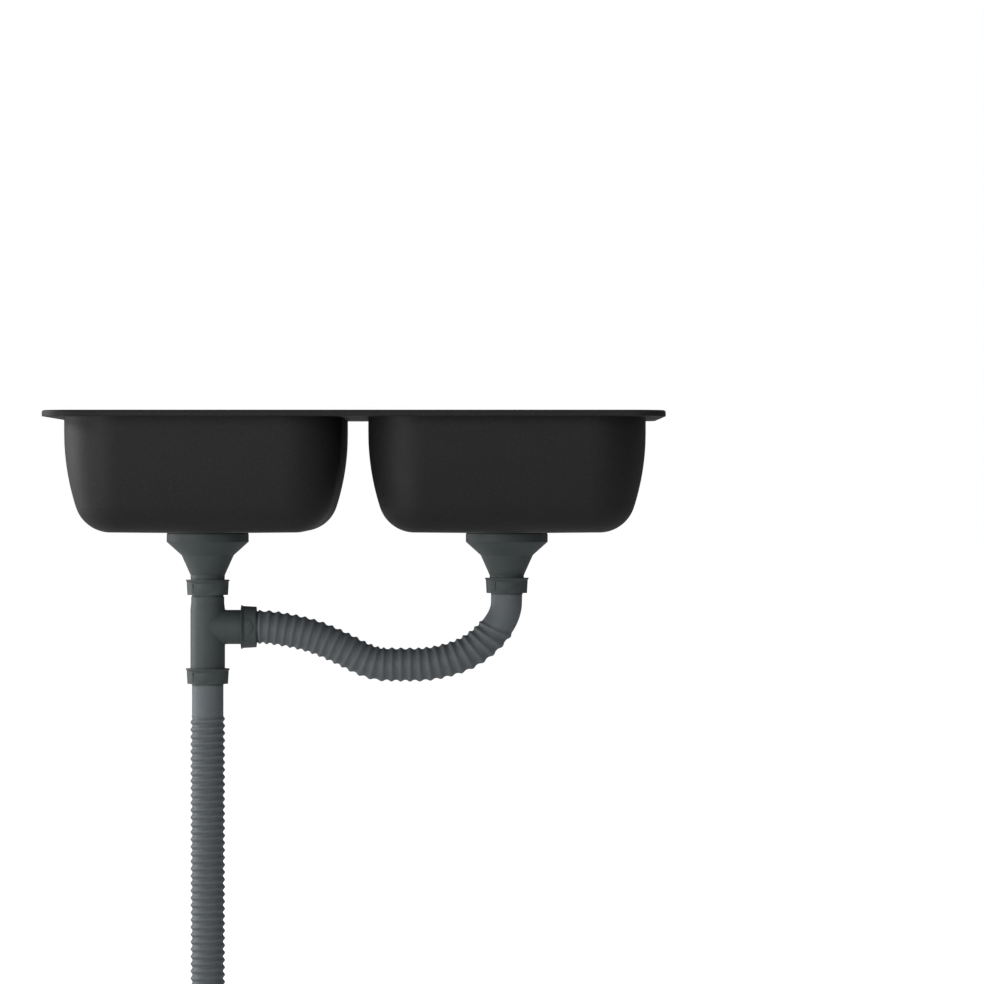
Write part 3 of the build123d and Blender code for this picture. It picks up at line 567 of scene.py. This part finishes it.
def ribbed_hose_tree():
    """Geometry nodes: a tube round a curve, with ring or spiral ribs between two plain ends."""
    tree = bpy.data.node_groups.new("ribbed_hose", "GeometryNodeTree")
    start, end = sockets(
        tree,
        {
            "Geometry": ("Geometry", None),
            "Steps": ("Int", 400),
            "Sides": ("Int", 56),
            "Neck Start": ("Float", 30.0 * MM),
            "Neck End": ("Float", 30.0 * MM),
            "Neck Radius": ("Float", 20.0 * MM),
            "Plain Start": ("Float", 50.0 * MM),
            "Plain End": ("Float", 40.0 * MM),
            "Ribs": ("Int", 30),
            "Lag": ("Float", 0.0),
            "Lean": ("Vector", None),
            "Spiral": ("Float", 0.0),
            "Plain Radius": ("Float", 20.0 * MM),
            "Valley Radius": ("Float", 20.0 * MM),
            "Crest Radius": ("Float", 23.0 * MM),
            "Bore Radius": ("Float", 17.2 * MM),
            "Sharpness": ("Float", 1.3),
            "Valley Painted Shade": ("Float", 0.4),
            "Material": ("Material", None),
        },
        {"Geometry": ("Geometry", None)},
    )
    given = start.outputs

    whole = add(tree, "GeometryNodeCurveLength", {"Curve": given["Geometry"]}).outputs["Length"]
    outer, line, turn = tube(tree, given, given["Steps"])
    radius, shade = skin_radius(tree, given, line, turn, whole)
    outer = at_radius(tree, outer, line["middle"], radius)
    # the valleys' painted shade is kept on the skin's points for the hose material
    outer = add(
        tree,
        "GeometryNodeStoreNamedAttribute",
        {"Geometry": outer, "Name": "valley_painted_shade", "Value": shade},
        data_type="FLOAT",
        domain="POINT",
    )

    inner, line, _ = tube(tree, given, calc(tree, "DIVIDE", given["Steps"], BORE_STEPS))
    inner = at_radius(tree, inner, line["middle"], given["Bore Radius"])
    inner = add(tree, "GeometryNodeFlipFaces", {"Mesh": inner})

    both = add(tree, "GeometryNodeJoinGeometry", {"Geometry": outer.outputs["Geometry"]})
    tree.links.new(inner.outputs["Mesh"], both.inputs["Geometry"])
    result = both.outputs["Geometry"]
    for kind, inputs in (
        ("GeometryNodeMergeByDistance", {"Distance": MERGE}),
        ("GeometryNodeSetShadeSmooth", {}),
        ("GeometryNodeRealizeInstances", {}),
        ("GeometryNodeSetMaterial", {"Material": given["Material"]}),
    ):
        result = add(tree, kind, {"Geometry": result, **inputs}).outputs["Geometry"]
    fill(tree, end.inputs["Geometry"], result)
    return tree


def grown(base, tree, name, values):
    """Runs a geometry tree on an object and gives the result as a plain mesh object."""
    modifier = base.modifiers.new("grow", "NODES")
    modifier.node_group = tree
    identifiers = {
        item.name: item.identifier for item in tree.interface.items_tree if item.in_out == "INPUT"
    }
    for key, value in values.items():
        modifier[identifiers[key]] = value
    bpy.context.view_layer.update()
    evaluated = base.evaluated_get(bpy.context.evaluated_depsgraph_get())
    data = bpy.data.meshes.new_from_object(evaluated)
    data.name = name
    base.modifiers.remove(modifier)
    piece = bpy.data.objects.new(name, data)
    bpy.context.scene.collection.objects.link(piece)
    return piece


HOSE_TREE = ribbed_hose_tree()


def make_hose(name, route, sizes):
    """A ribbed hose's mesh, and the points that it follows."""
    curve = route_curve(name + "_line", route)
    line = bpy.data.meshes.new_from_object(curve)
    points = [tuple(vertex.co) for vertex in line.vertices]
    piece = grown(curve, HOSE_TREE, name, {"Material": HOSE, **sizes})
    bpy.data.objects.remove(curve)
    bpy.data.meshes.remove(line)
    return piece, points


for name, node, route, sizes, far_end, others in (
    ("ribbed_branch_hose", "branch_hose", BRANCH_ROUTE, BRANCH_SIZES, "object", []),
    ("spiral_drop_hose", "drop_hose", DROP_ROUTE, DROP_SIZES, "fitting", [nodes["outlet_spigot"]]),
):
    piece, line = make_hose(name, route, sizes)
    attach(piece, BODY)
    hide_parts(node)


# ---------------------------------------------------------------- floor, light and camera

FLOOR_REACH = 60.0  # each way
FLOOR_GAP = 10 * MM  # under the lowest piece
FLOOR_GLOW = 0.9
WORLD_LIGHT = 0.168
WORLD_SEEN = 1.0
WHITE = grey(1.0)
LIT_POINT = Vector((0.0, -0.05, -0.2))
CAMERA_PLACE = (0.1816, -6.347, -0.0995)
CAMERA_LENS, CAMERA_SENSOR = 171.0, 36.0  # in mm, as Blender takes them

# soft boxes: name, place, width and height in metres, and power in watts
LIGHTS = [
    ("left_high", (-4.3, 1.1, 1.4), 3.1, 1.0, 100.0),
    ("left_low", (-4.3, 1.1, -0.42), 3.1, 0.8, 48.0),
    ("left_near", (-2.4, -2.6, -0.5), 1.2, 0.6, 32.0),
    ("front", (0.3, -5.2, 1.2), 4.0, 2.4, 50.0),
    ("above", (0.5, 1.9, 3.4), 2.6, 1.6, 40.0),
]


def pale_floor():
    """Near-white paper that also glows, towards the camera alone, and is clear from underneath."""
    material, tree, shader = new_material("pale_floor")
    shader.inputs["Base Color"].default_value = grey(0.8)
    shader.inputs["Roughness"].default_value = 0.9
    shader.inputs["Specular IOR Level"].default_value = 0.1
    shader.inputs["Emission Color"].default_value = WHITE
    seen = add(tree, "ShaderNodeLightPath").outputs["Is Camera Ray"]
    fill(tree, shader.inputs["Emission Strength"], calc(tree, "MULTIPLY", seen, FLOOR_GLOW))
    clear = add(tree, "ShaderNodeBsdfTransparent").outputs["BSDF"]
    back = add(tree, "ShaderNodeNewGeometry").outputs["Backfacing"]
    mixed = add(tree, "ShaderNodeMixShader", {0: back, 1: shader.outputs["BSDF"], 2: clear})
    fill(tree, tree.nodes["Material Output"].inputs["Surface"], mixed.outputs["Shader"])
    return material


def make_floor():
    """A plain pale floor under the sink."""
    data = bpy.data.meshes.new("studio_floor")
    form = bmesh.new()
    bmesh.ops.create_grid(form, x_segments=1, y_segments=1, size=FLOOR_REACH)
    form.to_mesh(data)
    form.free()
    data.materials.append(pale_floor())
    floor = bpy.data.objects.new("studio_floor", data)
    floor.location.z = FLOOR_Z - FLOOR_GAP
    bpy.context.scene.collection.objects.link(floor)


def make_world():
    """Soft surrounding light, seen as plain white."""
    world = bpy.data.worlds.new("studio")
    world.use_nodes = True
    bpy.context.scene.world = world
    tree = world.node_tree
    tree.nodes.clear()
    light, seen = [
        add(tree, "ShaderNodeBackground", {"Color": WHITE, "Strength": strength}).outputs["Background"]
        for strength in (WORLD_LIGHT, WORLD_SEEN)
    ]
    camera_ray = add(tree, "ShaderNodeLightPath").outputs["Is Camera Ray"]
    mixed = add(tree, "ShaderNodeMixShader", {0: camera_ray, 1: light, 2: seen})
    add(tree, "ShaderNodeOutputWorld", {"Surface": mixed.outputs["Shader"]})


def add_light(name, place, width, height, power):
    """A soft box that faces the sink."""
    data = bpy.data.lights.new(name, "AREA")
    data.shape = "RECTANGLE"
    data.size = width
    data.size_y = height
    data.energy = power
    light = bpy.data.objects.new(name, data)
    light.location = place
    light.rotation_euler = (LIT_POINT - light.location).to_track_quat("-Z", "Y").to_euler()
    bpy.context.scene.collection.objects.link(light)


def make_camera():
    """The photograph's view: level, from the front, to the right of the sink's middle."""
    data = bpy.data.cameras.new("camera")
    data.lens = CAMERA_LENS
    data.sensor_width = CAMERA_SENSOR
    data.clip_end = 200.0
    camera = bpy.data.objects.new("camera", data)
    camera.location = CAMERA_PLACE
    camera.rotation_euler = (radians(90), 0.0, 0.0)
    bpy.context.scene.collection.objects.link(camera)
    bpy.context.scene.camera = camera


make_floor()
make_world()
for light in LIGHTS:
    add_light(*light)
make_camera()
bpy.context.scene.view_settings.view_transform = "Standard"
